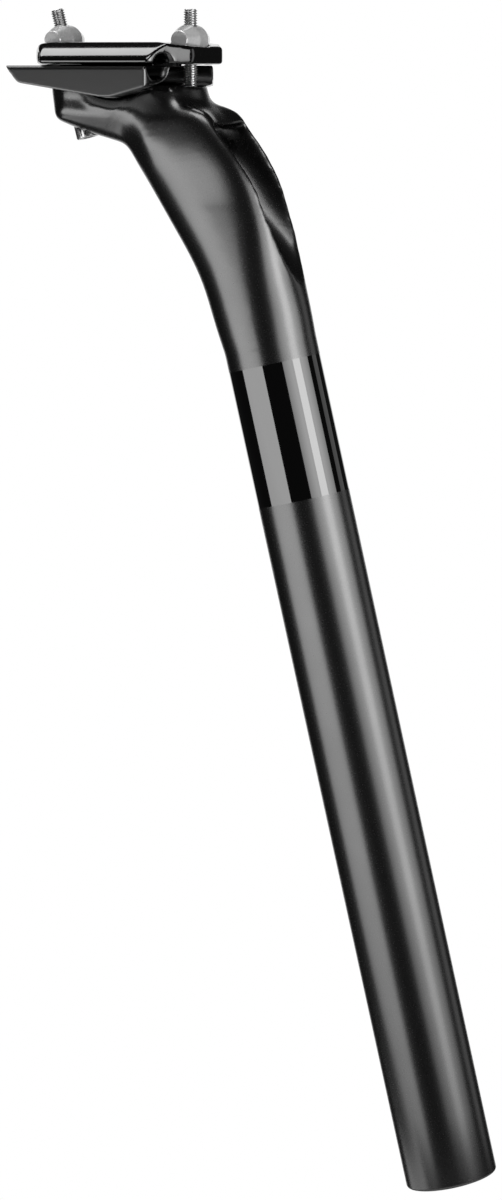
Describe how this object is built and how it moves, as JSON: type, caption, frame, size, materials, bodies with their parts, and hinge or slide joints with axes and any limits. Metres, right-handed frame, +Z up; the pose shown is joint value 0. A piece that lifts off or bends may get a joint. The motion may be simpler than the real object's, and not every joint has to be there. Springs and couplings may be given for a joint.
{
  "type": "bicycle seatpost",
  "caption": "Bicycle seatpost with a curved setback neck, a scooped head and a saddle rail clamp held by bolts in barrel nuts.",
  "frame": {"origin": "centre of the tube's bottom end", "axes": "+Z up the tube, +X forward on the bicycle, the saddle clamp set back towards -X, Y across"},
  "size_m": [0.0653, 0.055, 0.3628],
  "materials": {
    "post_black": "satin anodised",
    "clamp_black": "gloss anodised",
    "bolt_steel": "satin",
    "nut_steel": "turned"
  },
  "bodies": {
    "post": {"seatpost": "post_black", "front_bolt": "bolt_steel", "front_washer": "bolt_steel"},
    "clamp": {"lower_clamp": "clamp_black", "upper_clamp": "clamp_black"},
    "front_barrel": {"front_nut": "nut_steel"},
    "rear_barrel": {"rear_nut": "nut_steel"},
    "rear_screw": {"rear_bolt": "bolt_steel", "rear_washer": "bolt_steel"}
  },
  "joints": [
    {"name": "clamp_tilt", "type": "hinge", "parent": "post", "child": "clamp", "pos_m": [-0.02277, 0, 0.3489], "axis": [0, 1, 0], "range_deg": [-7, 7]},
    {"name": "front_nut_turn", "type": "hinge", "parent": "clamp", "child": "front_barrel", "pos_m": [-0.00412, 0, 0.34453], "axis": [0, 1, 0], "range_deg": [-7, 7]},
    {"name": "rear_nut_turn", "type": "hinge", "parent": "clamp", "child": "rear_barrel", "pos_m": [-0.04292, 0, 0.35363], "axis": [0, 1, 0], "range_deg": [-7, 7]},
    {"name": "rear_bolt_swing", "type": "hinge", "parent": "post", "child": "rear_screw", "pos_m": [-0.04222, 0, 0.32824], "axis": [0, 1, 0], "range_deg": [-2, 2]}
  ],
  "couplings": [
    {"joint": "front_nut_turn", "follows": "clamp_tilt", "ratio": -1},
    {"joint": "rear_nut_turn", "follows": "clamp_tilt", "ratio": -0.7917},
    {"joint": "rear_bolt_swing", "follows": "clamp_tilt", "ratio": 0.2083}
  ]
}
